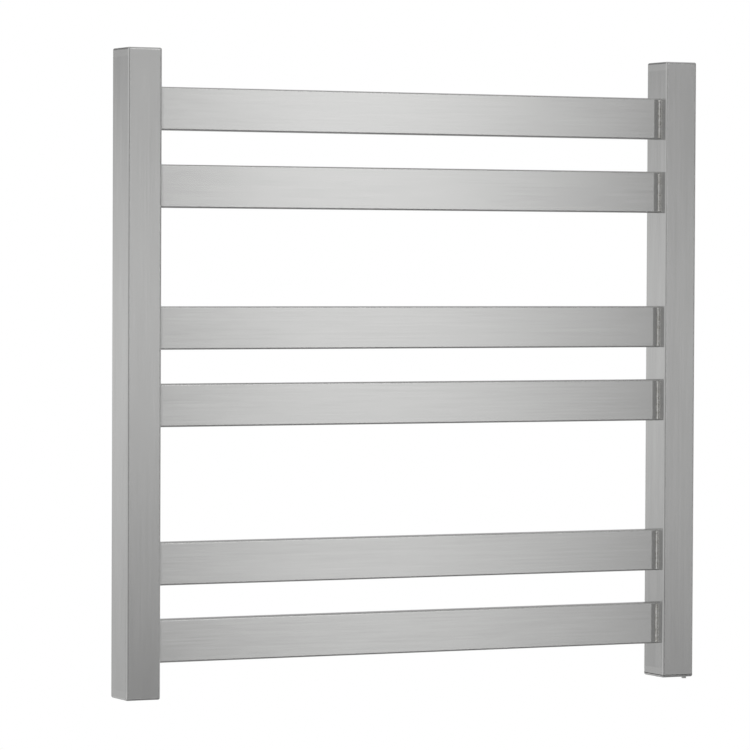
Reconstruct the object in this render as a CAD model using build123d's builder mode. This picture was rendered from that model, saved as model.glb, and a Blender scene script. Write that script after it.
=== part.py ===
from build123d import *
import os

# Ladder towel warmer: two box-section posts and six flat heated bars in three pairs, held off a wall by four
# bosses. Millimetres. +X runs along the bars, to the right as a person faces the rail, +Y runs into the wall and
# +Z is up.
# The origin is on the wall's surface, in the middle of the four wall bosses.

# ---- driving dimensions: the ladder frame ----
rail_width = 600.0  # over the outer faces of the posts
post_height = 600.0  # over the closed ends of a post
post_width = 34.0  # along X
post_depth = 38.0  # along Y
post_wall = 1.5
post_corner = 2.0  # outside corner radius of the post tube
end_plate_thickness = 2.0
end_plate_round = 1.8  # ground edge round a welded end plate
bar_height = 40.0
bar_depth = 13.0
bar_wall = 1.2
bar_corner = 1.6  # outside corner radius of the bar tube
bar_recess = 12.5  # from the posts' front faces back to the bars' front faces
pair_pitch = 71.5  # between the two bars of a pair
pair_middles = (88.5, 306.5, 509.0)  # middle of each pair above the posts' lower ends
weld_leg = 1.9  # fillet weld between a bar and a post
weld_bulge = 0.58  # how far the bead's face stands out, as a share of its leg

# ---- driving dimensions: the wall fixings ----
wall_gap = 17.0  # from the wall to the posts' back faces
sleeve_radius = 7.5
sleeve_bore_radius = 5.3
sleeve_rim_chamfer = 0.4
boss_radius = 5.0  # slides in the sleeve with 0.3 mm all round
boss_length = 15.0
boss_tip_chamfer = 0.5
wall_screw_hole_radius = 2.2
countersink_radius = 4.1
countersink_angle = 90
grub_radius = 2.0  # M4
grub_length = 3.0
grub_from_wall = 4.5
grub_socket_radius = 1.15  # 2 mm across the flats
thread_gap = 0.05  # between a screw and its tapped hole, or a crimp and its lead
sleeve_weld_leg = 1.6

# ---- driving dimensions: the wiring end of the right post ----
gasket_thickness = 0.6
gasket_rim = 2.5
access_screw_inset = 6.5  # from the post's outer faces
back_screw_inset = 12.5  # of the back screw, from the post's inner face
access_screw_radius = 1.25  # M2.5
access_screw_length = 9.0
access_hole_gap = 0.15  # all round an access screw, in the plate
access_head_radius = 2.2
access_head_height = 1.9
screw_slot_width = 0.7
screw_block_side = 9.0
screw_block_height = 6.0
supply_hole_radius = 5.0  # in the right post's back wall
supply_bore_radius = 3.25  # through the grommet, for a 6.5 mm supply cable
supply_height = 22.0  # above the post's lower end
grommet_lip = 1.5  # how far the lips reach past the hole
grommet_back_lip = 1.6  # thickness of the outer lip
grommet_front_lip = 1.4
grommet_taper = (0.5, 0.6)  # taken off the outer lip, across and along
bracket_thickness = 1.0
bracket_width = 22.0
bracket_height = 32.0
bracket_foot = 12.0
bracket_window_radius = 4.0
bracket_window_height = 6.5  # above the access plate
pole_pitch = 8.0
block_size = (24.6, 12.0, 18.0)  # three-pole terminal block
block_height_above_end = 23.0  # its middle above the post's lower end
block_edge_round = 0.8
block_screw_gap = 0.1
block_screw_head_radius = 2.0
block_screw_head_height = 1.5
block_screw_end = 1.0  # how far a block screw stands past the bracket
well_radius = 2.0
well_rise = 5.0  # of a clamping screw from the block's middle
pole_sleeve_radius = 2.5
pole_bore_radius = 1.6
pole_sleeve_length = 14.0
lead_start_rise = 2.0  # of a lead's bare end above the block's middle
terminal_screw_radius = 1.3
terminal_screw_length = 3.2
terminal_slot_width = 0.5
terminal_slot_depth = 0.8
earth_height = 72.0  # of the earth stud above the post's lower end

# ---- driving dimensions: the heating circuit ----
cable_radius = 2.0  # silicone heating cable
cable_bend = 14.0
lead_radius = 1.2
splice_radius = 2.9
splice_length = 18.0
splice_clearance = 0.1
splice_end_round = 0.8
splice_wall = 1.0  # between the cable's end and the lead's, in the middle of a splice
splice_x = 250.0  # the lead's end of each splice, inside a bar's right end
bushing_radius = 4.5
bushing_flange_radius = 5.3
bushing_flange = 1.0
bushing_bore_radius = 2.4
lead_run_x = 295.0  # where the long lead climbs the right post
lead_run_y = -46.0
cutout_size = (5.0, 8.0, 18.0)
cutout_corner = 1.0
cutout_socket = 4.0  # how deep a lead goes into either end of the cut-out
lead_end_gap = 0.5  # short of the socket's bottom
clip_thickness = 0.4
clip_foot = 3.0
clip_width = 6.0
neutral_bend = 11.0
earth_bend = 8.0
earth_shift = (42.0, 46.0)  # heights above the post's end between which the earth lead crosses to its barrel
live_shift = (44.0, 84.0)  # the same for the live lead's way to the outer wall
live_bends = (50.0, 60.0)
upper_bends = (60.0, 16.0)
upper_turn_drop = 44.0  # where the live lead leaves the outer wall, below the top bar
upper_turn_x = 5.0  # outwards of the post's middle

# ---- worked out from the above ----
post_x = (rail_width - post_width) / 2
inner_face = rail_width / 2 - post_width
post_back = -wall_gap
post_front = post_back - post_depth
post_middle_y = (post_back + post_front) / 2
bar_front = post_front + bar_recess
bar_back = bar_front + bar_depth
bar_middle_y = (bar_front + bar_back) / 2
bar_rises = [middle + shift for middle in pair_middles for shift in (-pair_pitch / 2, pair_pitch / 2)]
lower_fixing_bar = 1
upper_fixing_bar = 4
post_bottom = -(bar_rises[lower_fixing_bar] + bar_rises[upper_fixing_bar]) / 2
post_top = post_bottom + post_height
bar_levels = [post_bottom + rise for rise in bar_rises]
fixing_levels = {"lower": bar_levels[lower_fixing_bar], "upper": bar_levels[upper_fixing_bar]}
sides = {"left": -1, "right": 1}
outer_inside_x = rail_width / 2 - post_wall  # inside face of the right post's outer wall
back_inside_y = post_back - post_wall
front_inside_y = post_front + post_wall
block_level = post_bottom + block_height_above_end
pole_xs = [post_x - pole_pitch, post_x, post_x + pole_pitch]

os.makedirs("parts", exist_ok=True)


def write(piece, name):
    piece.part.label = name
    export_step(piece.part, f"parts/{name}.step")


# ---- the ladder frame ----


def make_post(side_name, tube_bottom):
    """A post's rectangular tube, with a passage into each bar through its inner wall."""
    side = sides[side_name]
    with BuildPart() as post:
        with BuildSketch(Plane.XY.offset(tube_bottom)):
            with Locations((side * post_x, post_middle_y)):
                RectangleRounded(post_width, post_depth, post_corner)
                RectangleRounded(
                    post_width - 2 * post_wall,
                    post_depth - 2 * post_wall,
                    post_corner - post_wall,
                    mode=Mode.SUBTRACT,
                )
        extrude(amount=post_top - end_plate_thickness - tube_bottom)
        with BuildSketch(Plane.YZ.offset(side * inner_face)):
            with Locations(*[(bar_middle_y, level) for level in bar_levels]):
                Circle(bushing_radius)
        extrude(amount=side * post_wall, mode=Mode.SUBTRACT)
        if side_name == "right":
            with BuildSketch(Plane.XZ.offset(-post_back)):
                with Locations((post_x, post_bottom + supply_height)):
                    Circle(supply_hole_radius)
            extrude(amount=post_wall, mode=Mode.SUBTRACT)
    write(post, f"{side_name}_post")


def make_end_plate(side_name, end):
    """A plate welded into the outline of a post's end and ground flush, with a rounded outer edge."""
    low = post_top - end_plate_thickness if end == "top" else post_bottom
    with BuildPart() as plate:
        with BuildSketch(Plane.XY.offset(low)):
            with Locations((sides[side_name] * post_x, post_middle_y)):
                RectangleRounded(post_width, post_depth, post_corner)
        extrude(amount=end_plate_thickness)
        outer = plate.faces().sort_by(Axis.Z)[-1 if end == "top" else 0]
        fillet(outer.edges(), end_plate_round)
    write(plate, f"{side_name}_post_{end}_plate")


def make_bar(number, level):
    """A flat tube between the posts' inner faces."""
    with BuildPart() as bar:
        with BuildSketch(Plane.YZ.offset(-inner_face)):
            with Locations((bar_middle_y, level)):
                RectangleRounded(bar_depth, bar_height, bar_corner)
                RectangleRounded(
                    bar_depth - 2 * bar_wall,
                    bar_height - 2 * bar_wall,
                    bar_corner - bar_wall,
                    mode=Mode.SUBTRACT,
                )
        extrude(amount=2 * inner_face)
    write(bar, f"towel_bar_{number}")


def make_bar_welds(side_name):
    """Fillet beads in the upright corners between the bars and one post, in front of and behind each bar."""
    side = sides[side_name]
    bead_height = bar_height - 2 * bar_corner
    with BuildPart() as beads:
        for level in bar_levels:
            for corner_y, outward in ((bar_front, -1), (bar_back, 1)):
                on_bar = (side * (inner_face - weld_leg), corner_y)
                on_post = (side * inner_face, corner_y + outward * weld_leg)
                crown = (
                    side * (inner_face - weld_bulge * weld_leg),
                    corner_y + outward * weld_bulge * weld_leg,
                )
                with BuildSketch(Plane.XY.offset(level - bead_height / 2)):
                    with BuildLine():
                        ThreePointArc(on_bar, crown, on_post)
                        Polyline(on_post, (side * inner_face, corner_y), on_bar)
                    make_face()
                extrude(amount=bead_height)
    write(beads, f"{side_name}_bar_welds")


# ---- the wall fixings ----


def make_sleeve(side_name, height_name, level):
    """A short tube welded to a post's back, which slides over a wall boss and has a tapped hole underneath."""
    x = sides[side_name] * post_x
    with BuildPart() as sleeve:
        with BuildSketch(Plane.XZ):
            with Locations((x, level)):
                Circle(sleeve_radius)
                Circle(sleeve_bore_radius, mode=Mode.SUBTRACT)
        extrude(amount=wall_gap)
        wall_rim = sleeve.faces().sort_by(Axis.Y)[-1].edges()
        chamfer(wall_rim, sleeve_rim_chamfer)
        with BuildSketch(Plane.XY.offset(level - sleeve_radius)):
            with Locations((x, -grub_from_wall)):
                Circle(grub_radius + thread_gap)
        extrude(amount=sleeve_radius, mode=Mode.SUBTRACT)
    write(sleeve, f"{side_name}_{height_name}_sleeve")


def make_wall_boss(side_name, height_name, level):
    """A round boss screwed to the wall by one countersunk screw through its middle."""
    with BuildPart() as boss:
        with BuildSketch(Plane.XZ):
            with Locations((sides[side_name] * post_x, level)):
                Circle(boss_radius)
        extrude(amount=boss_length)
        tip = boss.faces().sort_by(Axis.Y)[0]
        with Locations(tip):
            CounterSinkHole(wall_screw_hole_radius, countersink_radius, counter_sink_angle=countersink_angle)
        tip_rim = boss.faces().sort_by(Axis.Y)[0].edges().sort_by(SortBy.LENGTH)[-1]
        chamfer(tip_rim, boss_tip_chamfer)
    write(boss, f"{side_name}_{height_name}_wall_boss")


def make_grub_screws():
    """Socket grub screws that lock the sleeves on the bosses, turned from below."""
    with BuildPart() as screws:
        for side in sides.values():
            for level in fixing_levels.values():
                low = level - sleeve_bore_radius - grub_length
                with BuildSketch(Plane.XY.offset(low)):
                    with Locations((side * post_x, -grub_from_wall)):
                        Circle(grub_radius)
                extrude(amount=grub_length)
                with BuildSketch(Plane.XY.offset(low)):
                    with Locations((side * post_x, -grub_from_wall)):
                        RegularPolygon(grub_socket_radius, 6)
                extrude(amount=grub_length / 2, mode=Mode.SUBTRACT)
    write(screws, "grub_screws")


def make_sleeve_welds():
    """A ring of weld round the foot of each sleeve."""
    with BuildPart() as rings:
        for side in sides.values():
            for level in fixing_levels.values():
                x = side * post_x
                with BuildSketch(Plane.XY.offset(level)):
                    with BuildLine():
                        Polyline(
                            (x + sleeve_radius, post_back),
                            (x + sleeve_radius + sleeve_weld_leg, post_back),
                            (x + sleeve_radius, post_back + sleeve_weld_leg),
                            close=True,
                        )
                    make_face()
                revolve(axis=Axis((x, 0, level), (0, 1, 0)))
    write(rings, "sleeve_welds")


# ---- the wiring end of the right post ----

screw_spots = [
    (rail_width / 2 - access_screw_inset, post_front + access_screw_inset),
    (inner_face + back_screw_inset, post_back - access_screw_inset),
]
tube_bottom_right = post_bottom + end_plate_thickness + gasket_thickness


def make_access_plate():
    """The right post's lower end: a plate held by two screws, so that the wiring can be reached."""
    with BuildPart() as plate:
        with BuildSketch(Plane.XY.offset(post_bottom)):
            with Locations((post_x, post_middle_y)):
                RectangleRounded(post_width, post_depth, post_corner)
        extrude(amount=end_plate_thickness)
        fillet(plate.faces().sort_by(Axis.Z)[0].edges(), end_plate_round)
        with BuildSketch(Plane.XY.offset(post_bottom)):
            with Locations(*screw_spots):
                Circle(access_screw_radius + access_hole_gap)
        extrude(amount=end_plate_thickness, mode=Mode.SUBTRACT)
    write(plate, "access_plate")


def make_access_gasket():
    with BuildPart() as gasket:
        with BuildSketch(Plane.XY.offset(post_bottom + end_plate_thickness)):
            with Locations((post_x, post_middle_y)):
                RectangleRounded(post_width, post_depth, post_corner)
                Rectangle(post_width - 2 * gasket_rim, post_depth - 2 * gasket_rim, mode=Mode.SUBTRACT)
        extrude(amount=gasket_thickness)
    write(gasket, "access_gasket")


def make_access_screws():
    """Slotted cheese-head screws through the access plate."""
    with BuildPart() as screws:
        for spot in screw_spots:
            with BuildSketch(Plane.XY.offset(post_bottom - access_head_height)):
                with Locations(spot):
                    Circle(access_head_radius)
            extrude(amount=access_head_height)
            with BuildSketch(Plane.XY.offset(post_bottom)):
                with Locations(spot):
                    Circle(access_screw_radius)
            extrude(amount=access_screw_length)
            with BuildSketch(Plane.XY.offset(post_bottom - access_head_height)):
                with Locations(spot):
                    Rectangle(3 * access_head_radius, screw_slot_width)
            extrude(amount=access_head_height / 2, mode=Mode.SUBTRACT)
    write(screws, "access_screws")


def make_screw_blocks():
    """Tapped blocks welded to the post's walls for the access screws."""
    reach = screw_block_side / 2
    middles = [
        (outer_inside_x - reach, front_inside_y + reach),
        (inner_face + back_screw_inset, back_inside_y - reach),
    ]
    with BuildPart() as blocks:
        with BuildSketch(Plane.XY.offset(tube_bottom_right)):
            with Locations(*middles):
                RectangleRounded(screw_block_side, screw_block_side, post_corner - post_wall)
            with Locations(*screw_spots):
                Circle(access_screw_radius + thread_gap, mode=Mode.SUBTRACT)
        extrude(amount=screw_block_height)
    write(blocks, "access_screw_blocks")


def make_supply_grommet():
    """Rubber ring in the back of the right post, where the supply cable comes in from the wall."""
    groove = supply_hole_radius
    lip = supply_hole_radius + grommet_lip
    back = post_back + grommet_back_lip
    front = back_inside_y - grommet_front_lip
    x = post_x
    level = post_bottom + supply_height
    with BuildPart() as grommet:
        with BuildSketch(Plane.XY.offset(level)):
            with BuildLine():
                Polyline(
                    (x + supply_bore_radius, back),
                    (x + lip - grommet_taper[0], back),
                    (x + lip, back - grommet_taper[1]),
                    (x + lip, post_back),
                    (x + groove, post_back),
                    (x + groove, back_inside_y),
                    (x + lip, back_inside_y),
                    (x + lip, front),
                    (x + supply_bore_radius, front),
                    close=True,
                )
            make_face()
        revolve(axis=Axis((x, 0, level), (0, 1, 0)))
    write(grommet, "supply_grommet")


bracket_front_y = post_middle_y + block_size[1] / 2
cap_top = post_bottom + end_plate_thickness


def make_terminal_bracket():
    """Folded strip on the access plate that carries the terminal block, with a window for the supply cores."""
    with BuildPart() as bracket:
        with BuildSketch(Plane.YZ.offset(post_x - bracket_width / 2)):
            with BuildLine():
                Polyline(
                    (bracket_front_y + bracket_thickness, cap_top),
                    (bracket_front_y + bracket_thickness, cap_top + bracket_height),
                    (bracket_front_y, cap_top + bracket_height),
                    (bracket_front_y, cap_top + bracket_thickness),
                    (bracket_front_y - bracket_foot, cap_top + bracket_thickness),
                    (bracket_front_y - bracket_foot, cap_top),
                    close=True,
                )
            make_face()
        extrude(amount=bracket_width)
        with BuildSketch(Plane.XZ.offset(-bracket_front_y)):
            with Locations((post_x, cap_top + bracket_window_height)):
                Circle(bracket_window_radius)
            with Locations(*block_screw_spots):
                Circle(access_screw_radius + block_screw_gap)
        extrude(amount=-bracket_thickness, mode=Mode.SUBTRACT)
    write(bracket, "terminal_bracket")


block_screw_spots = [(post_x - pole_pitch / 2, block_level), (post_x + pole_pitch / 2, block_level)]
block_front_y = post_middle_y - block_size[1] / 2
screw_wells = [(x, block_level + rise) for x in pole_xs for rise in (-well_rise, well_rise)]


def make_terminal_block():
    """Moulded block with three poles, a wire passage up each pole and screw wells in its front."""
    with BuildPart() as block:
        with BuildSketch(Plane.XY.offset(block_level - block_size[2] / 2)):
            with Locations((post_x, post_middle_y)):
                Rectangle(block_size[0], block_size[1])
        extrude(amount=block_size[2])
        fillet(block.edges().filter_by(Axis.X), block_edge_round)
        with BuildSketch(Plane.XY.offset(block_level - block_size[2] / 2)):
            with Locations(*[(x, post_middle_y) for x in pole_xs]):
                Circle(pole_sleeve_radius)
        extrude(amount=block_size[2], mode=Mode.SUBTRACT)
        with BuildSketch(Plane.XZ.offset(-block_front_y)):
            with Locations(*screw_wells):
                Circle(well_radius)
        extrude(amount=-block_size[1] / 2, mode=Mode.SUBTRACT)
        with BuildSketch(Plane.XZ.offset(-block_front_y)):
            with Locations(*block_screw_spots):
                Circle(access_screw_radius + block_screw_gap)
        extrude(amount=-block_size[1], mode=Mode.SUBTRACT)
    write(block, "terminal_block")


def make_pole_sleeves():
    """Brass tubes in the block that the wire ends are clamped in."""
    with BuildPart() as tubes:
        with BuildSketch(Plane.XY.offset(block_level - pole_sleeve_length / 2)):
            with Locations(*[(x, post_middle_y) for x in pole_xs]):
                Circle(pole_sleeve_radius)
                Circle(pole_bore_radius, mode=Mode.SUBTRACT)
        extrude(amount=pole_sleeve_length)
        with BuildSketch(Plane.XZ.offset(-post_middle_y)):
            with Locations(*screw_wells):
                Circle(terminal_screw_radius + thread_gap)
        extrude(amount=pole_sleeve_radius, mode=Mode.SUBTRACT)
    write(tubes, "pole_sleeves")


def make_terminal_screws():
    """The six slotted clamping screws in the wells."""
    tip_y = post_middle_y - pole_bore_radius
    with BuildPart() as screws:
        with BuildSketch(Plane.XZ.offset(-tip_y)):
            with Locations(*screw_wells):
                Circle(terminal_screw_radius)
        extrude(amount=terminal_screw_length)
        with BuildSketch(Plane.XZ.offset(terminal_screw_length - tip_y)):
            with Locations(*screw_wells):
                Rectangle(3 * terminal_screw_radius, terminal_slot_width)
        extrude(amount=-terminal_slot_depth, mode=Mode.SUBTRACT)
    write(screws, "terminal_screws")


def make_block_screws():
    """Two screws that hold the terminal block on its bracket."""
    with BuildPart() as screws:
        with BuildSketch(Plane.XZ.offset(-block_front_y)):
            with Locations(*block_screw_spots):
                Circle(block_screw_head_radius)
        extrude(amount=block_screw_head_height)
        with BuildSketch(Plane.XZ.offset(-block_front_y)):
            with Locations(*block_screw_spots):
                Circle(access_screw_radius)
        extrude(amount=-(block_size[1] + bracket_thickness + block_screw_end))
    write(screws, "block_screws")


# ---- the earth connection, on the right post's back wall ----

earth_level = post_bottom + earth_height
stud_radius = 2.0  # M4
stud_length = 10.0
stud_chamfer = 0.4
ring_radius = 4.0
ring_thickness = 0.8
tongue_size = (3.6, 9.0)
tongue_drop = 6.0  # its middle below the stud
stud_gap = 0.15
washer_radius = 4.4
washer_thickness = 0.8
nut_thickness = 3.2
nut_flat = 3.5  # from its middle to a flat
barrel_radius = 1.8
barrel_low = earth_level - 14.0
barrel_high = earth_level - 7.5
barrel_y = back_inside_y - barrel_radius


def make_earth_stud():
    with BuildPart() as stud:
        with BuildSketch(Plane.XZ.offset(-back_inside_y)):
            with Locations((post_x, earth_level)):
                Circle(stud_radius)
        extrude(amount=stud_length)
        chamfer(stud.faces().sort_by(Axis.Y)[0].edges(), stud_chamfer)
    write(stud, "earth_stud")


def make_earth_ring_terminal():
    """Crimp terminal: a flat ring on the stud with a barrel below it that grips the earth lead."""
    with BuildPart() as terminal:
        with BuildSketch(Plane.XZ.offset(-back_inside_y)):
            with Locations((post_x, earth_level)):
                Circle(ring_radius)
            with Locations((post_x, earth_level - tongue_drop)):
                Rectangle(*tongue_size)
            with Locations((post_x, earth_level)):
                Circle(stud_radius + stud_gap, mode=Mode.SUBTRACT)
        extrude(amount=ring_thickness)
        with BuildSketch(Plane.XY.offset(barrel_low)):
            with Locations((post_x, barrel_y)):
                Circle(barrel_radius)
        extrude(amount=barrel_high - barrel_low)
        with BuildSketch(Plane.XY.offset(barrel_low)):
            with Locations((post_x, barrel_y)):
                Circle(lead_radius + thread_gap)
        extrude(amount=barrel_high - barrel_low, mode=Mode.SUBTRACT)
    write(terminal, "earth_ring_terminal")


def make_earth_washer():
    with BuildPart() as washer:
        with BuildSketch(Plane.XZ.offset(ring_thickness - back_inside_y)):
            with Locations((post_x, earth_level)):
                Circle(washer_radius)
                Circle(stud_radius + stud_gap, mode=Mode.SUBTRACT)
        extrude(amount=washer_thickness)
    write(washer, "earth_washer")


def make_earth_nut():
    with BuildPart() as nut:
        with BuildSketch(Plane.XZ.offset(ring_thickness + washer_thickness - back_inside_y)):
            with Locations((post_x, earth_level)):
                RegularPolygon(nut_flat, 6, major_radius=False)
                Circle(stud_radius + thread_gap, mode=Mode.SUBTRACT)
        extrude(amount=nut_thickness)
    write(nut, "earth_nut")


# ---- the heating circuit ----


def make_round_run(name, points, bends, radius):
    """A cable or lead: straight runs joined by tangent arcs, one bend radius for each corner."""
    with BuildPart() as run:
        with BuildLine() as route:
            if bends:
                FilletPolyline(*points, radius=bends)
            else:
                Line(*points)
        with BuildSketch(Plane(origin=route.line @ 0, z_dir=route.line % 0)):
            Circle(radius)
        sweep()
    write(run, name)


def make_heating_cable():
    """One cable that goes to and fro through the six bars, turning up inside the posts."""
    points = [(splice_x - splice_length / 2, bar_middle_y, bar_levels[0])]
    for index, level in enumerate(bar_levels):
        arrives_right = index % 2 == 1
        turn_x = post_x if arrives_right else -post_x
        if index < len(bar_levels) - 1:
            points.append((turn_x, bar_middle_y, level))
            points.append((turn_x, bar_middle_y, bar_levels[index + 1]))
    points.append((splice_x - splice_length / 2, bar_middle_y, bar_levels[-1]))
    make_round_run("heating_cable", points, [cable_bend] * (len(points) - 2), cable_radius)


def make_splice(name, level):
    """A crimped and sleeved joint between the heating cable and a cold lead, just inside a bar's right end."""
    with BuildPart() as splice:
        with BuildSketch(Plane.YZ.offset(splice_x - splice_length)):
            with Locations((bar_middle_y, level)):
                Circle(splice_radius)
        extrude(amount=splice_length)
        fillet(splice.edges().filter_by(GeomType.CIRCLE), splice_end_round)
        with BuildSketch(Plane.YZ.offset(splice_x - splice_length)):
            with Locations((bar_middle_y, level)):
                Circle(cable_radius + splice_clearance)
        extrude(amount=splice_length / 2, mode=Mode.SUBTRACT)
        with BuildSketch(Plane.YZ.offset(splice_x)):
            with Locations((bar_middle_y, level)):
                Circle(lead_radius + splice_clearance)
        extrude(amount=splice_wall - splice_length / 2, mode=Mode.SUBTRACT)
    write(splice, name)


def make_bushing(side_name, number, level):
    """Silicone bush that lines the passage from a post into a bar, with its flange inside the post."""
    side = sides[side_name]
    with BuildPart() as bushing:
        with BuildSketch(Plane.YZ.offset(side * inner_face)):
            with Locations((bar_middle_y, level)):
                Circle(bushing_radius)
        extrude(amount=side * post_wall)
        with BuildSketch(Plane.YZ.offset(side * (inner_face + post_wall))):
            with Locations((bar_middle_y, level)):
                Circle(bushing_flange_radius)
        extrude(amount=side * bushing_flange)
        with BuildSketch(Plane.YZ.offset(side * inner_face)):
            with Locations((bar_middle_y, level)):
                Circle(bushing_bore_radius)
        extrude(amount=side * (post_wall + bushing_flange), mode=Mode.SUBTRACT)
    write(bushing, f"{side_name}_cable_bushing_{number}")


cutout_level = post_bottom + pair_middles[1]
cutout_middle_x = outer_inside_x - cutout_size[0] / 2
lead_start = block_level + lead_start_rise


def make_thermal_cutout():
    """Bimetal cut-out in the live lead, held against the post's outer wall at the middle of the rail."""
    with BuildPart() as cutout:
        with BuildSketch(Plane.XY.offset(cutout_level - cutout_size[2] / 2)):
            with Locations((cutout_middle_x, lead_run_y)):
                RectangleRounded(cutout_size[0], cutout_size[1], cutout_corner)
        extrude(amount=cutout_size[2])
        for low in (cutout_level - cutout_size[2] / 2, cutout_level + cutout_size[2] / 2 - cutout_socket):
            with BuildSketch(Plane.XY.offset(low)):
                with Locations((lead_run_x, lead_run_y)):
                    Circle(lead_radius + splice_clearance)
            extrude(amount=cutout_socket, mode=Mode.SUBTRACT)
    write(cutout, "thermal_cutout")


def make_cutout_clip():
    """Sprung strip over the cut-out, with its feet on the post's wall."""
    half = cutout_size[1] / 2
    front = outer_inside_x - cutout_size[0]
    with BuildPart() as clip:
        with BuildSketch(Plane.XY.offset(cutout_level - clip_width / 2)):
            with BuildLine():
                Polyline(
                    (outer_inside_x, lead_run_y - half - clip_foot),
                    (outer_inside_x, lead_run_y - half),
                    (front, lead_run_y - half),
                    (front, lead_run_y + half),
                    (outer_inside_x, lead_run_y + half),
                    (outer_inside_x, lead_run_y + half + clip_foot),
                    (outer_inside_x - clip_thickness, lead_run_y + half + clip_foot),
                    (outer_inside_x - clip_thickness, lead_run_y + half + clip_thickness),
                    (front - clip_thickness, lead_run_y + half + clip_thickness),
                    (front - clip_thickness, lead_run_y - half - clip_thickness),
                    (outer_inside_x - clip_thickness, lead_run_y - half - clip_thickness),
                    (outer_inside_x - clip_thickness, lead_run_y - half - clip_foot),
                    close=True,
                )
            make_face()
        extrude(amount=clip_width)
    write(clip, "cutout_clip")


def make_leads():
    """The cold leads: neutral and earth from the block, and live in two lengths, by way of the cut-out."""
    neutral = [
        (pole_xs[1], post_middle_y, lead_start),
        (pole_xs[1], post_middle_y, bar_levels[0]),
        (splice_x - splice_length / 2 + splice_wall, post_middle_y, bar_levels[0]),
    ]
    make_round_run("neutral_lead", neutral, [neutral_bend], lead_radius)
    earth = [
        (pole_xs[0], post_middle_y, lead_start),
        (pole_xs[0], post_middle_y, post_bottom + earth_shift[0]),
        (post_x, barrel_y, post_bottom + earth_shift[1]),
        (post_x, barrel_y, barrel_high - splice_wall),
    ]
    make_round_run("earth_lead", earth, [earth_bend, earth_bend], lead_radius)
    live_lower = [
        (pole_xs[2], post_middle_y, lead_start),
        (pole_xs[2], post_middle_y, post_bottom + live_shift[0]),
        (lead_run_x, lead_run_y, post_bottom + live_shift[1]),
        (lead_run_x, lead_run_y, cutout_level - cutout_size[2] / 2 + cutout_socket - lead_end_gap),
    ]
    make_round_run("live_lead_lower", live_lower, list(live_bends), lead_radius)
    live_upper = [
        (lead_run_x, lead_run_y, cutout_level + cutout_size[2] / 2 - cutout_socket + lead_end_gap),
        (lead_run_x, lead_run_y, bar_levels[5] - upper_turn_drop),
        (post_x + upper_turn_x, bar_middle_y, bar_levels[5]),
        (splice_x - splice_length / 2 + splice_wall, bar_middle_y, bar_levels[5]),
    ]
    make_round_run("live_lead_upper", live_upper, list(upper_bends), lead_radius)


make_post("left", post_bottom + end_plate_thickness)
make_post("right", tube_bottom_right)
make_end_plate("left", "top")
make_end_plate("right", "top")
make_end_plate("left", "bottom")
for number, level in enumerate(bar_levels, start=1):
    make_bar(number, level)
for side_name in sides:
    make_bar_welds(side_name)
    for height_name, level in fixing_levels.items():
        make_sleeve(side_name, height_name, level)
        make_wall_boss(side_name, height_name, level)
    for number, level in enumerate(bar_levels, start=1):
        make_bushing(side_name, number, level)
make_grub_screws()
make_sleeve_welds()
make_access_plate()
make_access_gasket()
make_access_screws()
make_screw_blocks()
make_supply_grommet()
make_terminal_bracket()
make_terminal_block()
make_pole_sleeves()
make_terminal_screws()
make_block_screws()
make_earth_stud()
make_earth_ring_terminal()
make_earth_washer()
make_earth_nut()
make_heating_cable()
make_splice("lower_splice", bar_levels[0])
make_splice("upper_splice", bar_levels[5])
make_thermal_cutout()
make_cutout_clip()
make_leads()
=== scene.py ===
import math
import random

import bmesh
import bpy
from mathutils import Matrix, Vector


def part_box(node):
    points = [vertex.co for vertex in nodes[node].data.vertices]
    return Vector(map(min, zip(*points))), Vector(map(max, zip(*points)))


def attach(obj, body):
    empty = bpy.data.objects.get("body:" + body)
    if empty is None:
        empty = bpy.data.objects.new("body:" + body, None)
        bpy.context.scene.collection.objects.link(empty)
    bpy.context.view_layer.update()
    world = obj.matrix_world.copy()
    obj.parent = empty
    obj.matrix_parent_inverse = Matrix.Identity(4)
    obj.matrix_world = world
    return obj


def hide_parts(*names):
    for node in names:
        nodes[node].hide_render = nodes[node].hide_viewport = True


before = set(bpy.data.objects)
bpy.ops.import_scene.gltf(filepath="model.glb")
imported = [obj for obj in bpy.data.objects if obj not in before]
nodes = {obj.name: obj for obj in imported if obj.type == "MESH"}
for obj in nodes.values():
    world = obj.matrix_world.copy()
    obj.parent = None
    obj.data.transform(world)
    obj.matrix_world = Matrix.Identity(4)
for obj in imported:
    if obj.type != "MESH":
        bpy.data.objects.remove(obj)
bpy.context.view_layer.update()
scene = bpy.context.scene
scene.view_settings.view_transform = "Standard"
mm = 0.001
print("frame loaded:", len(nodes), "nodes")


# small helpers

def linear(hexColour):
    # sRGB hex to the linear colour a shader wants
    parts = [int(hexColour[i:i + 2], 16) / 255 for i in (1, 3, 5)]
    return [p / 12.92 if p <= 0.04045 else ((p + 0.055) / 1.055) ** 2.4 for p in parts] + [1.0]


def addNode(tree, kind, settings=None, inputs=None):
    node = tree.nodes.new(kind)
    for name, value in (settings or {}).items():
        setattr(node, name, value)
    for key, value in (inputs or {}).items():
        if isinstance(value, bpy.types.NodeSocket):
            tree.links.new(value, node.inputs[key])
        else:
            node.inputs[key].default_value = value
    return node


def middleOf(node):
    low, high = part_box(node)
    return (low + high) / 2


def halfOf(node):
    low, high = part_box(node)
    return (high - low) / 2


# the camera: a long lens from the rail's left, just above its middle

camera = {
    "lens": 207.29,
    "place": (-1.8286, -3.7102, 0.10605),
    "heading": -25.977,  # degrees, then pitch above level and roll
    "pitch": -1.508,
    "roll": 0.258,
}


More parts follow.
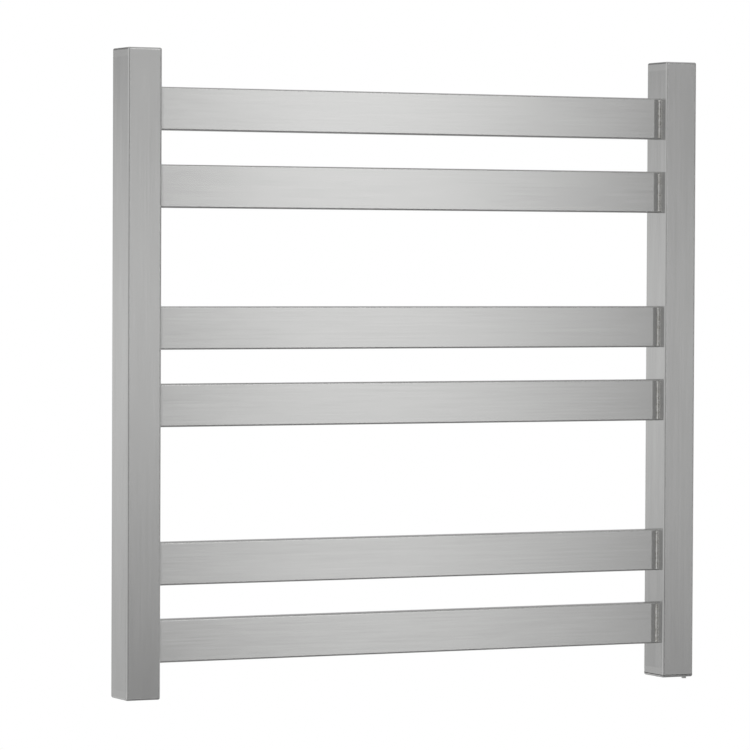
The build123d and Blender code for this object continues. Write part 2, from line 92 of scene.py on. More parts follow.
def addCamera():
    data = bpy.data.cameras.new("studioCamera")
    data.lens = camera["lens"]
    data.sensor_width = 36.0
    data.clip_end = 60.0
    eye = bpy.data.objects.new("studioCamera", data)
    scene.collection.objects.link(eye)
    turn = Matrix.Rotation(math.radians(camera["heading"]), 4, "Z")
    tilt = Matrix.Rotation(math.radians(90 + camera["pitch"]), 4, "X")
    roll = Matrix.Rotation(math.radians(camera["roll"]), 4, "Z")
    eye.matrix_world = Matrix.Translation(camera["place"]) @ turn @ tilt @ roll
    scene.camera = eye


addCamera()
print("camera placed")


# the studio: a white backdrop for the eye, and soft light cards all round for the steel to reflect.
# a card's angles are in degrees: round from -Y towards +X, and up from level

studio = {
    "fill": 0.226,
    "darkest": 0.05,
    "cards": [
        # the key card in front, right of the rail: its edges give the bars their long fade
        {"round": 27.2, "halfRound": 3.5, "softRound": 1.5,
         "up": 5.7, "halfUp": 12.1, "softUp": 2.5, "level": 0.83},
        {"round": 15.75, "halfRound": 12.4, "softRound": 1.5,
         "up": 15.1, "halfUp": 17.6, "softUp": 2.7, "level": 0.76},
        # a black flag in front of it
        {"round": 33.8, "halfRound": 20.0, "softRound": 1.5,
         "up": 4.4, "halfUp": 4.9, "softUp": 4.1, "level": -0.5},
        # the fill cards on the left, and behind on both sides
        {"round": -80.0, "halfRound": 40.0, "softRound": 29.2,
         "up": 17.8, "halfUp": 44.3, "softUp": 9.9, "level": 0.42},
        {"round": -140.7, "halfRound": 29.7, "softRound": 14.0,
         "up": -0.7, "halfUp": 3.0, "softUp": 3.3, "level": 0.35},
        {"round": -168.5, "halfRound": 16.7, "softRound": 6.3,
         "up": -17.6, "halfUp": 14.9, "softUp": 14.5, "level": 0.74},
        {"round": 95.0, "halfRound": 40.0, "softRound": 25.0,
         "up": 15.0, "halfUp": 30.0, "softUp": 20.0, "level": 0.35},
        {"round": 158.0, "halfRound": 16.0, "softRound": 10.0,
         "up": 10.0, "halfUp": 14.0, "softUp": 8.0, "level": 0.35},
        # low cards and a ring overhead, for the rail seen from above and from behind
        {"round": -64.0, "halfRound": 22.0, "softRound": 9.0,
         "up": -30.0, "halfUp": 16.0, "softUp": 8.0, "level": 0.42},
        {"round": 132.0, "halfRound": 34.0, "softRound": 10.0,
         "up": -26.0, "halfUp": 16.0, "softUp": 8.0, "level": 0.45},
        {"round": 0.0, "halfRound": 190.0, "softRound": 5.0,
         "up": 62.0, "halfUp": 18.0, "softUp": 10.0, "level": 0.3},
    ],
    "overhead": {"size": 2.6, "height": 2.6, "forward": 0.6, "power": 150.0},
    "paper": {"dark": "#F0F0EF", "light": "#F6F6F5", "cloudScale": 3.0, "cloudDetail": 4.0, "rough": 0.9},
    "floorRadius": 5.0,
    "floorDrop": 1.1,
    "fadeStart": 1.2,
    "fadeEnd": 2.6,
}


def addWorld():
    world = bpy.data.worlds.new("softStudio")
    scene.world = world
    world.use_nodes = True
    tree = world.node_tree
    tree.nodes.clear()
    look = addNode(tree, "ShaderNodeTexCoord")
    parts = addNode(tree, "ShaderNodeSeparateXYZ", None, {0: look.outputs["Generated"]})
    away = addNode(tree, "ShaderNodeMath", {"operation": "MULTIPLY"}, {0: parts.outputs[1], 1: -1.0})
    turn = addNode(tree, "ShaderNodeMath", {"operation": "ARCTAN2"}, {
        0: parts.outputs[0], 1: away.outputs[0]})
    rise = addNode(tree, "ShaderNodeMath", {"operation": "ARCSINE"}, {0: parts.outputs[2]})
    angles = {}
    for name, source in (("round", turn), ("up", rise)):
        inDegrees = addNode(tree, "ShaderNodeMath", {"operation": "DEGREES"}, {0: source.outputs[0]})
        angles[name] = inDegrees.outputs[0]
    total = None
    for card in studio["cards"]:
        masks = []
        for name, half, soft in (("round", "halfRound", "softRound"), ("up", "halfUp", "softUp")):
            offset = addNode(tree, "ShaderNodeMath", {"operation": "SUBTRACT"}, {
                0: angles[name], 1: card[name]})
            size = addNode(tree, "ShaderNodeMath", {"operation": "ABSOLUTE"}, {0: offset.outputs[0]})
            masks.append(addNode(tree, "ShaderNodeMapRange", {"interpolation_type": "SMOOTHSTEP"}, {
                "Value": size.outputs[0], "From Min": card[half] - card[soft],
                "From Max": card[half] + card[soft], "To Min": 1.0, "To Max": 0.0}).outputs[0])
        shape = addNode(tree, "ShaderNodeMath", {"operation": "MULTIPLY"}, {0: masks[0], 1: masks[1]})
        total = addNode(tree, "ShaderNodeMath", {"operation": "MULTIPLY_ADD"}, {
            0: shape.outputs[0], 1: card["level"], 2: total if total else studio["fill"]}).outputs[0]
    total = addNode(tree, "ShaderNodeMath", {"operation": "MAXIMUM"}, {
        0: total, 1: studio["darkest"]}).outputs[0]
    path = addNode(tree, "ShaderNodeLightPath")
    strength = addNode(tree, "ShaderNodeMix", {"data_type": "FLOAT"}, {
        0: path.outputs["Is Camera Ray"], 2: total, 3: 1.0})
    sky = addNode(tree, "ShaderNodeBackground", None, {"Color": (1, 1, 1, 1), "Strength": strength.outputs[0]})
    addNode(tree, "ShaderNodeOutputWorld", None, {"Surface": sky.outputs[0]})


def addOverhead():
    lamp = bpy.data.lights.new("overheadSoftbox", "AREA")
    lamp.shape = "SQUARE"
    lamp.size = studio["overhead"]["size"]
    lamp.energy = studio["overhead"]["power"]
    holder = bpy.data.objects.new("overheadSoftbox", lamp)
    holder.location = (0, -studio["overhead"]["forward"], studio["overhead"]["height"])
    holder.visible_glossy = False
    holder.visible_camera = False
    scene.collection.objects.link(holder)


def addFloor():
    # seamless paper: pale, dead matt, with the faintest cloudiness
    look = studio["paper"]
    paper = bpy.data.materials.new("seamlessPaper")
    paper.use_nodes = True
    tree = paper.node_tree
    tree.nodes.clear()
    place = addNode(tree, "ShaderNodeTexCoord")
    cloud = addNode(tree, "ShaderNodeTexNoise", None, {
        "Vector": place.outputs["Object"], "Scale": look["cloudScale"], "Detail": look["cloudDetail"]})
    tone = addNode(tree, "ShaderNodeMix", {"data_type": "RGBA"}, {
        0: cloud.outputs["Fac"], 6: linear(look["dark"]), 7: linear(look["light"])})
    skin = addNode(tree, "ShaderNodeBsdfPrincipled", None, {
        "Base Color": tone.outputs[2], "Roughness": look["rough"]})
    # lit from below further out, so that it melts into the backdrop
    away = addNode(tree, "ShaderNodeVectorMath", {"operation": "LENGTH"}, {0: place.outputs["Object"]})
    fade = addNode(tree, "ShaderNodeMapRange", {"interpolation_type": "SMOOTHSTEP"}, {
        "Value": away.outputs["Value"], "From Min": studio["fadeStart"], "From Max": studio["fadeEnd"]})
    glow = addNode(tree, "ShaderNodeEmission", None, {"Color": (1, 1, 1, 1), "Strength": 1.0})
    blend = addNode(tree, "ShaderNodeMixShader", None, {
        0: fade.outputs[0], 1: skin.outputs[0], 2: glow.outputs[0]})
    addNode(tree, "ShaderNodeOutputMaterial", None, {"Surface": blend.outputs[0]})
    shape = bmesh.new()
    bmesh.ops.create_circle(shape, cap_ends=True, segments=128, radius=studio["floorRadius"])
    bmesh.ops.translate(shape, verts=shape.verts, vec=(0, 0, -studio["floorDrop"]))
    mesh = bpy.data.meshes.new("studioFloor")
    shape.to_mesh(mesh)
    shape.free()
    mesh.materials.append(paper)
    floor = bpy.data.objects.new("studioFloor", mesh)
    scene.collection.objects.link(floor)
    floor.visible_glossy = False


addWorld()
addOverhead()
addFloor()
print("studio lit")


# brushed stainless tube, satin No. 4 finish: long fine lines from the abrasive belt run with the tube, so
# what it reflects stays crisp along the lines and smears across them, and a thin highlight is painted into the
# colour along its corners.
# widths, lengths and depths are in mm

# the part of a noise's range that it really uses
noiseLow = 0.3
noiseHigh = 0.7

brushed = {
    "dark": "#CFCFCE",
    "light": "#E3E3E2",
    # the colour of the highlight painted along the tube's corners
    "corner": "#E0E0DF",
    "lineWidth": 0.35,  # real belt lines are finer, too fine to show
    "lineLength": 32.0,
    "lineDetail": 3.0,
    "bandWidth": 1.6,
    "bandLength": 140.0,
    "bandDetail": 2.0,
    "cloudWidth": 17.0,
    "cloudLength": 85.0,
    "cloudDetail": 2.0,
    "noiseRough": 0.55,
    "bandShare": 0.45,
    "cloudShare": 0.4,
    "cornerRim": 0.15,  # how far inside the tube's faces the corner is full
    "cornerSmoother": -0.03,
    "roughLow": 0.185,
    "roughHigh": 0.225,
    "anisotropy": 1.0,
    "turn": 0.25,  # a quarter, from across the tangent to along it
    "lineDepth": 0.004,
    "lineStrength": 0.35,
    "groundSoft": 0.8,
}


def brushedSteel(name, middle, half, grain, cornerWidth, endBand=None):
    # grain is 0 for lines along X and 2 for lines along Z
    steel = bpy.data.materials.new(name)
    steel.use_nodes = True
    tree = steel.node_tree
    tree.nodes.clear()
    place = addNode(tree, "ShaderNodeTexCoord")
    local = addNode(tree, "ShaderNodeMapping", None, {
        "Vector": place.outputs["Object"], "Location": [-c for c in middle]})
    noises = {}
    for kind in ("line", "band", "cloud"):
        stretch = [1 / (brushed[kind + "Width"] * mm)] * 3
        stretch[grain] = 1 / (brushed[kind + "Length"] * mm)
        drawn = addNode(tree, "ShaderNodeMapping", None, {
            "Vector": place.outputs["Object"], "Scale": stretch})
        noises[kind] = addNode(tree, "ShaderNodeTexNoise", None, {
            "Vector": drawn.outputs[0], "Scale": 1.0, "Detail": brushed[kind + "Detail"],
            "Roughness": brushed["noiseRough"]}).outputs["Fac"]
    halfway = addNode(tree, "ShaderNodeMix", {"data_type": "FLOAT"}, {
        0: brushed["bandShare"], 2: noises["line"], 3: noises["band"]})
    blend = addNode(tree, "ShaderNodeMix", {"data_type": "FLOAT"}, {
        0: brushed["cloudShare"], 2: halfway.outputs[0], 3: noises["cloud"]})
    spread = addNode(tree, "ShaderNodeMapRange", None, {
        "Value": blend.outputs[0], "From Min": noiseLow, "From Max": noiseHigh})
    tone = addNode(tree, "ShaderNodeMix", {"data_type": "RGBA"}, {
        0: spread.outputs[0], 6: linear(brushed["dark"]), 7: linear(brushed["light"])})

    # how near the surface is to a corner of the tube's section
    sides = addNode(tree, "ShaderNodeVectorMath", {"operation": "ABSOLUTE"}, {0: local.outputs[0]})
    split = addNode(tree, "ShaderNodeSeparateXYZ", None, {0: sides.outputs[0]})
    across = [i for i in (0, 1, 2) if i != grain]
    nears = []
    for i in across:
        nears.append(addNode(tree, "ShaderNodeMapRange", {"interpolation_type": "SMOOTHSTEP"}, {
            "Value": split.outputs[i], "From Min": half[i] - cornerWidth * mm,
            "From Max": half[i] - brushed["cornerRim"] * mm}).outputs[0])
    corner = addNode(tree, "ShaderNodeMath", {"operation": "MULTIPLY"}, {0: nears[0], 1: nears[1]})
    # a painted highlight along the tube's corners, broken up by the band noise
    paintedCornerHighlight = addNode(tree, "ShaderNodeMath", {"operation": "MULTIPLY"}, {0: corner.outputs[0], 1: noises["band"]})
    lit = addNode(tree, "ShaderNodeMix", {"data_type": "RGBA"}, {
        0: paintedCornerHighlight.outputs[0], 6: tone.outputs[2], 7: linear(brushed["corner"])})
    rough = addNode(tree, "ShaderNodeMapRange", None, {
        "Value": blend.outputs[0], "From Min": noiseLow, "From Max": noiseHigh,
        "To Min": brushed["roughLow"], "To Max": brushed["roughHigh"]})
    smooth = addNode(tree, "ShaderNodeMath", {"operation": "MULTIPLY_ADD"}, {
        0: corner.outputs[0], 1: brushed["cornerSmoother"], 2: rough.outputs[0]})
    colour = lit.outputs[2]
    dull = smooth.outputs[0]

    along = [0.0, 0.0, 0.0]
    along[grain] = 1.0
    tangent = addNode(tree, "ShaderNodeCombineXYZ", None, dict(enumerate(along))).outputs[0]
    if endBand:
        # the last few millimetres are ground across after welding: paler, duller, with a ragged start
        ragged = addNode(tree, "ShaderNodeMath", {"operation": "MULTIPLY_ADD"}, {
            0: noises["band"], 1: endBand["ragged"] * mm, 2: split.outputs[grain]})
        soft = brushed["groundSoft"]
        ground = addNode(tree, "ShaderNodeMapRange", {"interpolation_type": "SMOOTHSTEP"}, {
            "Value": ragged.outputs[0], "From Min": half[grain] - (endBand["width"] + soft) * mm,
            "From Max": half[grain] - (endBand["width"] - soft) * mm,
            "To Max": endBand["amount"]}).outputs[0]
        if "faint" in endBand:
            # the flat faces were dressed back with the lines, so the band shows on the sides
            facing = addNode(tree, "ShaderNodeNewGeometry")
            lean = addNode(tree, "ShaderNodeSeparateXYZ", None, {0: facing.outputs["Normal"]})
            sideways = addNode(tree, "ShaderNodeMath", {"operation": "ABSOLUTE"}, {0: lean.outputs[0]})
            share = addNode(tree, "ShaderNodeMapRange", None, {
                "Value": sideways.outputs[0], "To Min": endBand["faint"], "To Max": 1.0})
            ground = addNode(tree, "ShaderNodeMath", {"operation": "MULTIPLY"}, {
                0: ground, 1: share.outputs[0]}).outputs[0]
        colour = addNode(tree, "ShaderNodeMix", {"data_type": "RGBA"}, {
            0: ground, 6: colour, 7: linear(endBand["colour"])}).outputs[2]
        dull = addNode(tree, "ShaderNodeMath", {"operation": "MULTIPLY_ADD"}, {
            0: ground, 1: endBand["duller"], 2: dull}).outputs[0]
    bump = addNode(tree, "ShaderNodeBump", None, {
        "Height": noises["line"], "Strength": brushed["lineStrength"],
        "Distance": brushed["lineDepth"] * mm})
    skin = addNode(tree, "ShaderNodeBsdfPrincipled", None, {
        "Base Color": colour, "Metallic": 1.0, "Roughness": dull, "Normal": bump.outputs[0],
        "Anisotropic": brushed["anisotropy"], "Anisotropic Rotation": brushed["turn"], "Tangent": tangent})
    addNode(tree, "ShaderNodeOutputMaterial", None, {"Surface": skin.outputs[0]})
    return steel


# the tubes

tubes = {
    "barCorner": 1.7,
    "postCorner": 2.1,
    "barEnd": {"width": 5.0, "ragged": 3.0, "amount": 0.7, "colour": "#CFCFCE", "duller": 0.03},
    "postEnd": {"width": 5.5, "ragged": 1.5, "amount": 0.8, "colour": "#E6E6E5", "duller": 0.05, "faint": 0.12},
    "plateEnd": {"width": 3.0, "ragged": 1.0, "amount": 0.4, "colour": "#CFCFCE", "duller": 0.02},
}


def finishTubes():
    for number in range(1, 7):
        node = "towel_bar_%d" % number
        steel = brushedSteel("brushedBarSteel%d" % number, middleOf(node), halfOf(node), 0,
                             tubes["barCorner"], tubes["barEnd"])
        nodes[node].material_slots[0].material = steel
    for side in ("left", "right"):
        node = side + "_post"
        steel = brushedSteel(side + "PostBrushedSteel", middleOf(node), halfOf(node), 2,
                             tubes["postCorner"], tubes["postEnd"])
        nodes[node].material_slots[0].material = steel
    for node in ("left_post_top_plate", "left_post_bottom_plate", "right_post_top_plate", "access_plate"):
        steel = brushedSteel(node.replace("_", " ").title().replace(" ", "") + "GroundSteel",
                             middleOf(node), halfOf(node), 0, tubes["postCorner"], tubes["plateEnd"])
        nodes[node].material_slots[0].material = steel


finishTubes()
print("tubes brushed")


# fillet welds: a row of frozen ripples with a small lump where each run starts and stops. Sizes are in mm

beads = {
    "leg": 1.6,
    "length": 37.4,
    "step": 0.42,
    "arcSteps": 8,
    "bow": 0.5,  # how far a ripple's middle lags behind its feet
    "ripple": 1.75,  # spacing of the ripples
    "rippleShare": 0.085,
    "wanderShare": 0.13,
    "wanderLength": 11.0,
    "quickWander": 0.6,  # size and length of a second, quicker wander beside the first
    "quickLength": 0.43,
    "lump": 0.48,
    "startLump": 1.3,
    "endLump": 1.5,
    "endSize": 0.62,  # where a run starts and stops, then how fast it fills out
    "endGrowth": 0.19,
    "ringShare": 0.92,
    "mergeGap": 0.02,
    "seed": 41,
}


def beadSwell(along, length, phases):
    # the bead's size at a distance along it, as a share of its usual size, in mm
    ripple = abs(math.sin(math.pi * (along / beads["ripple"] + phases[0])))
    wander = math.sin(2 * math.pi * (along / beads["wanderLength"] + phases[1]))
    quickLength = beads["quickLength"] * beads["wanderLength"]
    wander += beads["quickWander"] * math.sin(2 * math.pi * (along / quickLength + phases[2]))
    lumps = math.exp(-(along / beads["startLump"]) ** 2)
    lumps += math.exp(-((length - along) / beads["endLump"]) ** 2)
    swell = 1 + beads["rippleShare"] * (ripple - 0.5) * 2
    swell += beads["wanderShare"] * wander / (1 + beads["quickWander"])
    return swell + beads["lump"] * lumps


def straightBead(corner, side, outward, level, rng):
    phases = [rng.random() for draw in range(3)]
    leg = beads["leg"] * mm
    low = Vector((corner[0], corner[1], level - beads["length"] / 2 * mm))
    shape = bmesh.new()
    first = shape.verts.new(low - Vector((side * leg, 0, 0)))
    bmesh.ops.spin(shape, geom=[first], cent=low, axis=(0, 0, -side * outward), angle=math.pi / 2,
                   steps=beads["arcSteps"], use_merge=False)
    arc = sorted(shape.verts, key=lambda v: abs(v.co.y - low.y))
    for index, vert in enumerate(arc):
        share = 2 * index / (len(arc) - 1) - 1
        vert.co.z -= beads["bow"] * mm * (1 - share * share)
    root = shape.verts.new(low)
    shape.edges.new((root, arc[0]))
    shape.edges.new((root, arc[-1]))
    bmesh.ops.contextual_create(shape, geom=list(shape.edges))
    ring = list(shape.edges)
    count = int(beads["length"] / beads["step"])
    before = 1.0
    for index in range(count + 1):
        size = beadSwell(index * beads["step"], beads["length"], phases)
        size *= min(1.0, beads["endSize"] + beads["endGrowth"] * min(index, count - index))
        if index:
            pulled = bmesh.ops.extrude_edge_only(shape, edges=ring)["geom"]
            ring = [g for g in pulled if isinstance(g, bmesh.types.BMEdge)]
            moved = [g for g in pulled if isinstance(g, bmesh.types.BMVert)]
            bmesh.ops.translate(shape, verts=moved, vec=(0, 0, beads["step"] * mm))
        else:
            moved = list(shape.verts)
        bmesh.ops.scale(shape, verts=moved, vec=(size / before, size / before, 1),
                        space=Matrix.Translation(-low))
        before = size
    bmesh.ops.contextual_create(shape, geom=ring)
    bmesh.ops.recalc_face_normals(shape, faces=shape.faces)
    return shape


def ringBead(centre, radius, rng):
    phases = [rng.random() for draw in range(3)]
    leg = beads["leg"] * mm
    root = Vector((centre[0] + radius, centre[1], centre[2]))
    shape = bmesh.new()
    first = shape.verts.new(root + Vector((leg, 0, 0)))
    bmesh.ops.spin(shape, geom=[first], cent=root, axis=(0, 0, 1), angle=math.pi / 2,
                   steps=beads["arcSteps"], use_merge=False)
    arc = sorted(shape.verts, key=lambda v: v.co.y)
    heel = shape.verts.new(root)
    shape.edges.new((heel, arc[0]))
    shape.edges.new((heel, arc[-1]))
    around = 2 * math.pi * radius / mm
    steps = int(around / beads["step"])
    bmesh.ops.spin(shape, geom=list(shape.verts) + list(shape.edges), cent=centre, axis=(0, 1, 0),
                   angle=2 * math.pi, steps=steps, use_merge=True)
    bmesh.ops.remove_doubles(shape, verts=shape.verts, dist=beads["mergeGap"] * mm)
    for vert in shape.verts:
        out = Vector((vert.co.x - centre[0], 0, vert.co.z - centre[2]))
        turn = math.atan2(out.z, out.x) % (2 * math.pi)
        foot = Vector((centre[0], centre[1], centre[2])) + out.normalized() * radius
        swell = beadSwell(turn / (2 * math.pi) * around, around, phases)
        vert.co = foot + (vert.co - foot) * swell * beads["ringShare"]
    bmesh.ops.recalc_face_normals(shape, faces=shape.faces)
    return shape


def pieceFrom(name, shapes, material):
    whole = bmesh.new()
    for shape in shapes:
        part = bpy.data.meshes.new("part")
        shape.to_mesh(part)
        shape.free()
        whole.from_mesh(part)
        bpy.data.meshes.remove(part)
    for face in whole.faces:
        face.smooth = True
    mesh = bpy.data.meshes.new(name)
    whole.to_mesh(mesh)
    whole.free()
    mesh.materials.append(material)
    piece = bpy.data.objects.new(name, mesh)
    scene.collection.objects.link(piece)
    return piece


# the other finishes. Sizes are in mm, and "turned" lists the axis of a part made on a lathe

# each finish's edge colour is a highlight painted along the part's edges
finishes = {
    # TIG bead left bright: frozen ripples, silver with a breath of straw in the hollows
    "brightWeldSteel": {
        "colours": ("#CFCDC8", "#ECECEA"), "grain": 0.5, "cloud": 5.0, "metallic": 1.0,
        "rough": (0.2, 0.36), "depth": 0.02, "edge": "#F2F2F0"},
    # mill finish sheet: soft grey with slow clouds from the rolls
    "rolledMillSteel": {
        "colours": ("#B4B4B2", "#C6C6C4"), "grain": 0.4, "cloud": 8.0, "metallic": 1.0,
        "rough": (0.3, 0.42), "depth": 0.006, "edge": "#D8D8D6"},
    # cold-headed screw, passivated: bright and slightly pitted
    "coldHeadedScrewSteel": {
        "colours": ("#BDBDBB", "#D2D2D0"), "grain": 0.3, "cloud": 2.5, "metallic": 1.0,
        "rough": (0.2, 0.32), "depth": 0.008, "edge": "#E4E4E2"},
    # moulded EPDM: near black, dead soft light, a painted grey highlight on the edges
    "mouldedBlackRubber": {
        "colours": ("#171718", "#262627"), "grain": 0.35, "cloud": 4.0, "metallic": 0.0, "ior": 1.52,
        "rough": (0.68, 0.85), "depth": 0.02, "edge": "#3A3A3B"},
    # moulded nylon: milky white with a fine spark-eroded texture
    "mouldedWhiteNylon": {
        "colours": ("#DEDBD2", "#EBE9E1"), "grain": 0.3, "cloud": 5.0, "metallic": 0.0, "ior": 1.53,
        "rough": (0.42, 0.58), "depth": 0.012, "edge": "#F5F3EC"},
    # machined brass: warm yellow, cutter lines, a little brown tarnish
    "machinedBrass": {
        "colours": ("#B38F4C", "#D6B56C"), "grain": 0.25, "cloud": 2.0, "metallic": 1.0,
        "rough": (0.22, 0.38), "depth": 0.008, "edge": "#E6CA86"},
    # tin-plated copper, crimped: pale and slightly buttery, with hammered-looking flats
    "platedTinnedCopper": {
        "colours": ("#B9B6AE", "#D3D0C8"), "grain": 0.4, "cloud": 2.0, "metallic": 1.0,
        "rough": (0.28, 0.44), "depth": 0.012, "edge": "#E2DFD7"},
    # extruded silicone rubber: brick red, waxy, with drag lines and dust
    "extrudedSiliconeCable": {
        "colours": ("#9C4331", "#B35641"), "grain": 0.4, "cloud": 18.0, "metallic": 0.0, "ior": 1.41,
        "rough": (0.42, 0.6), "depth": 0.01, "edge": "#C27461"},
    # heat-shrunk polyolefin: near black with a blue cast, softly wrinkled where it gripped
    "shrunkPolyolefinSleeve": {
        "colours": ("#20242B", "#2F343D"), "grain": 0.8, "cloud": 4.0, "metallic": 0.0, "ior": 1.5,
        "rough": (0.36, 0.54), "depth": 0.03, "edge": "#454B55"},
    # moulded silicone bush: cloudy and translucent-looking
    "mouldedSiliconeBush": {
        "colours": ("#C9C7C0", "#D9D8D2"), "grain": 0.3, "cloud": 3.0, "metallic": 0.0, "ior": 1.41,
        "rough": (0.45, 0.6), "depth": 0.012, "edge": "#E6E5E0"},
    # moulded thermoset case: warm ivory with a faint orange peel
    "mouldedThermosetCase": {
        "colours": ("#D0CBBD", "#DDD9CC"), "grain": 0.5, "cloud": 4.0, "metallic": 0.0, "ior": 1.6,
        "rough": (0.34, 0.5), "depth": 0.012, "edge": "#EAE7DD"},
    # extruded silicone cores: even colour, satin, with fine drag lines
    "extrudedBrownInsulation": {
        "colours": ("#57321B", "#6C4226"), "grain": 0.35, "cloud": 9.0, "metallic": 0.0, "ior": 1.53,
        "rough": (0.38, 0.52), "depth": 0.008, "edge": "#7C5030"},
    "extrudedBlueInsulation": {
        "colours": ("#24549A", "#3169B4"), "grain": 0.35, "cloud": 9.0, "metallic": 0.0, "ior": 1.53,
        "rough": (0.38, 0.52), "depth": 0.008, "edge": "#4A7EC4"},
    "extrudedStripedInsulation": {
        "colours": ("#2A7435", "#37863F"), "grain": 0.35, "cloud": 9.0, "metallic": 0.0, "ior": 1.53,
        "rough": (0.38, 0.52), "depth": 0.008, "edge": "#4C9A55", "stripe": "#D8BE2C", "stripePitch": 7.0},
}


# what all of them share
solid = {
    "cloudDetail": 3.0,
    "grainDetail": 2.0,
    "latheLine": 0.3,  # the real lines are finer, too fine to show
    "latheDetail": 2.0,
    "latheAnisotropy": 0.7,
    "latheTurn": 0.25,
    "stripeScale": 0.31,
    "stripeWobble": 0.3,
    "stripeStart": 0.58,
    "stripeFull": 0.62,
    # a highlight painted along every edge: its width, where it starts and is full, and how strong
    "rubRadius": 0.35,
    "rubStart": 0.97,  # cosine between the rounded normal and the true one
    "rubFull": 0.8,
    "rubAmount": 0.8,
    "roughStart": 0.35,
    "roughFull": 0.65,
    "bumpStrength": 0.6,
}


def solidFinish(name, look, turned=None):
    finish = bpy.data.materials.new(name)
    finish.use_nodes = True
    tree = finish.node_tree
    tree.nodes.clear()
    place = addNode(tree, "ShaderNodeTexCoord")
    cloud = addNode(tree, "ShaderNodeTexNoise", None, {
        "Vector": place.outputs["Object"], "Scale": 1 / (look["cloud"] * mm),
        "Detail": solid["cloudDetail"]})
    grain = addNode(tree, "ShaderNodeTexNoise", None, {
        "Vector": place.outputs["Object"], "Scale": 1 / (look["grain"] * mm),
        "Detail": solid["grainDetail"]})
    height = grain.outputs["Fac"]
    extra = {}
    if turned:
        # lathe lines: circles round the axis
        local = addNode(tree, "ShaderNodeMapping", None, {
            "Vector": place.outputs["Object"], "Location": [-c for c in turned]})
        flat = addNode(tree, "ShaderNodeVectorMath", {"operation": "MULTIPLY"}, {
            0: local.outputs[0], 1: (1, 0, 1)})
        radius = addNode(tree, "ShaderNodeVectorMath", {"operation": "LENGTH"}, {0: flat.outputs[0]})
        depth = addNode(tree, "ShaderNodeSeparateXYZ", None, {0: local.outputs[0]})
        reach = addNode(tree, "ShaderNodeMath", {"operation": "ADD"}, {
            0: radius.outputs["Value"], 1: depth.outputs[1]})
        lines = addNode(tree, "ShaderNodeTexNoise", {"noise_dimensions": "1D"}, {
            "W": reach.outputs[0], "Scale": 1 / (solid["latheLine"] * mm), "Detail": solid["latheDetail"]})
        height = lines.outputs["Fac"]
        circling = addNode(tree, "ShaderNodeVectorMath", {"operation": "CROSS_PRODUCT"}, {
            0: flat.outputs[0], 1: (0, 1, 0)})
        unit = addNode(tree, "ShaderNodeVectorMath", {"operation": "NORMALIZE"}, {0: circling.outputs[0]})
        extra = {"Tangent": unit.outputs[0], "Anisotropic": solid["latheAnisotropy"],
                 "Anisotropic Rotation": solid["latheTurn"]}
    tone = addNode(tree, "ShaderNodeMapRange", None, {
        "Value": cloud.outputs["Fac"], "From Min": noiseLow, "From Max": noiseHigh})
    colour = addNode(tree, "ShaderNodeMix", {"data_type": "RGBA"}, {
        0: tone.outputs[0], 6: linear(look["colours"][0]), 7: linear(look["colours"][1])}).outputs[2]
    if "stripe" in look:
        split = addNode(tree, "ShaderNodeTexWave", {"bands_direction": "DIAGONAL"}, {
            "Vector": place.outputs["Object"], "Scale": 1 / (look["stripePitch"] * mm) * solid["stripeScale"],
            "Distortion": solid["stripeWobble"]})
        hard = addNode(tree, "ShaderNodeMapRange", {"interpolation_type": "SMOOTHSTEP"}, {
            "Value": split.outputs["Fac"], "From Min": solid["stripeStart"], "From Max": solid["stripeFull"]})
        colour = addNode(tree, "ShaderNodeMix", {"data_type": "RGBA"}, {
            0: hard.outputs[0], 6: colour, 7: linear(look["stripe"])}).outputs[2]
    # a highlight painted on the edges: lighter where a rounded normal leaves the true one
    rounded = addNode(tree, "ShaderNodeBevel", {"samples": 4}, {
        "Radius": solid["rubRadius"] * mm})
    true = addNode(tree, "ShaderNodeNewGeometry")
    match = addNode(tree, "ShaderNodeVectorMath", {"operation": "DOT_PRODUCT"}, {
        0: rounded.outputs[0], 1: true.outputs["Normal"]})
    paintedEdgeHighlight = addNode(tree, "ShaderNodeMapRange", {"interpolation_type": "SMOOTHSTEP"}, {
        "Value": match.outputs["Value"], "From Min": solid["rubStart"], "From Max": solid["rubFull"],
        "To Min": 0.0, "To Max": solid["rubAmount"]})
    colour = addNode(tree, "ShaderNodeMix", {"data_type": "RGBA"}, {
        0: paintedEdgeHighlight.outputs[0], 6: colour, 7: linear(look["edge"])}).outputs[2]
    mixed = addNode(tree, "ShaderNodeMix", {"data_type": "FLOAT"}, {
        0: 0.5, 2: grain.outputs["Fac"], 3: cloud.outputs["Fac"]})
    rough = addNode(tree, "ShaderNodeMapRange", None, {
        "Value": mixed.outputs[0], "From Min": solid["roughStart"], "From Max": solid["roughFull"],
        "To Min": look["rough"][0], "To Max": look["rough"][1]})
    bump = addNode(tree, "ShaderNodeBump", None, {
        "Height": height, "Strength": solid["bumpStrength"], "Distance": look["depth"] * mm})
    sockets = {"Base Color": colour, "Metallic": look["metallic"], "Roughness": rough.outputs[0],
               "Normal": bump.outputs[0]}
    if "ior" in look:
        sockets["IOR"] = look["ior"]
    sockets.update(extra)
    skin = addNode(tree, "ShaderNodeBsdfPrincipled", None, sockets)
    addNode(tree, "ShaderNodeOutputMaterial", None, {"Surface": skin.outputs[0]})
    return finish


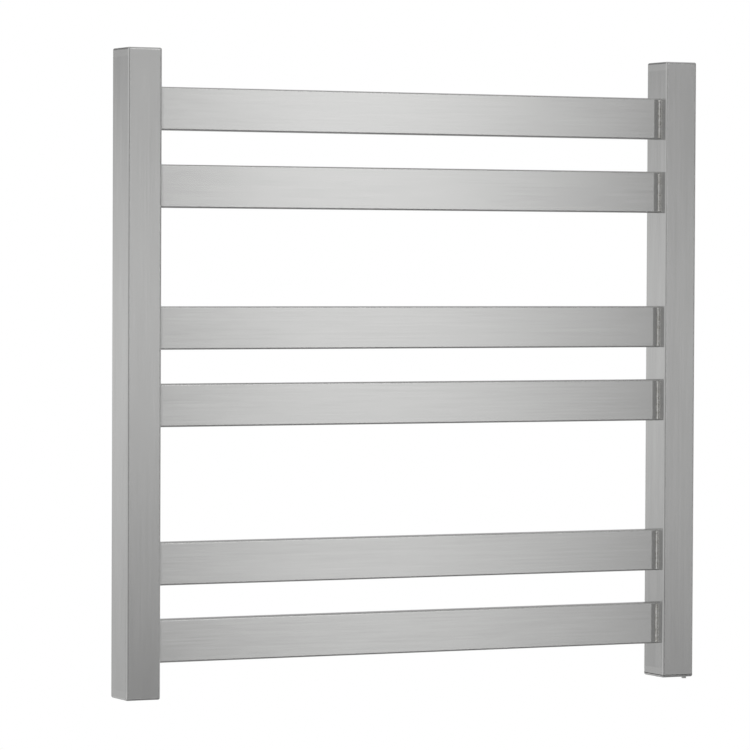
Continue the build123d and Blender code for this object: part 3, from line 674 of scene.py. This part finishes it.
slotFinishes = {
    "plain_steel": "rolledMillSteel",
    "screw_steel": "coldHeadedScrewSteel",
    "black_rubber": "mouldedBlackRubber",
    "white_nylon": "mouldedWhiteNylon",
    "terminal_brass": "machinedBrass",
    "tinned_copper": "platedTinnedCopper",
    "silicone_cable": "extrudedSiliconeCable",
    "splice_sleeve": "shrunkPolyolefinSleeve",
    "silicone_bush": "mouldedSiliconeBush",
    "cutout_case": "mouldedThermosetCase",
    "live_insulation": "extrudedBrownInsulation",
    "neutral_insulation": "extrudedBlueInsulation",
    "earth_insulation": "extrudedStripedInsulation",
}

# bar stock turned on a lathe: fine circles round the axis that pull the light into a bow-tie
turnedLook = {
    "colours": ("#C4C4C2", "#D6D6D4"), "grain": 0.3, "cloud": 3.0, "metallic": 1.0,
    # its edge colour is a highlight painted along the part's edges
    "rough": (0.2, 0.3), "depth": 0.01, "edge": "#E6E6E4"}


def finishSmallParts():
    made = {name: solidFinish(name, look) for name, look in finishes.items()}
    for node, piece in nodes.items():
        slot = piece.material_slots[0].material.name if piece.material_slots else ""
        if slot in slotFinishes:
            piece.material_slots[0].material = made[slotFinishes[slot]]
        elif slot in ("sleeve_steel", "boss_steel"):
            label = "".join(word.title() for word in node.split("_")) + "TurnedSteel"
            piece.material_slots[0].material = solidFinish(label, turnedLook, middleOf(node))
    return made["brightWeldSteel"]


def addWelds(material):
    rng = random.Random(beads["seed"])
    for name, side in (("left", -1), ("right", 1)):
        shapes = []
        for number in range(1, 7):
            low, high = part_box("towel_bar_%d" % number)
            level = (low.z + high.z) / 2
            for corner, outward in ((low.y, -1), (high.y, 1)):
                shapes.append(straightBead((side * high.x, corner), side, outward, level, rng))
        piece = pieceFrom(name + "_bar_weld_beads", shapes, material)
        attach(piece, "rail")
        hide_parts(name + "_bar_welds")
    shapes = []
    for name in ("left_lower", "left_upper", "right_lower", "right_upper"):
        low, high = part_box(name + "_sleeve")
        shapes.append(ringBead(Vector(((low.x + high.x) / 2, low.y, (low.z + high.z) / 2)),
                               (high.x - low.x) / 2, rng))
    piece = pieceFrom("sleeve_weld_beads", shapes, material)
    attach(piece, "rail")
    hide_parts("sleeve_welds")


weldSteel = finishSmallParts()
print("small parts finished")
addWelds(weldSteel)
print("welds run")
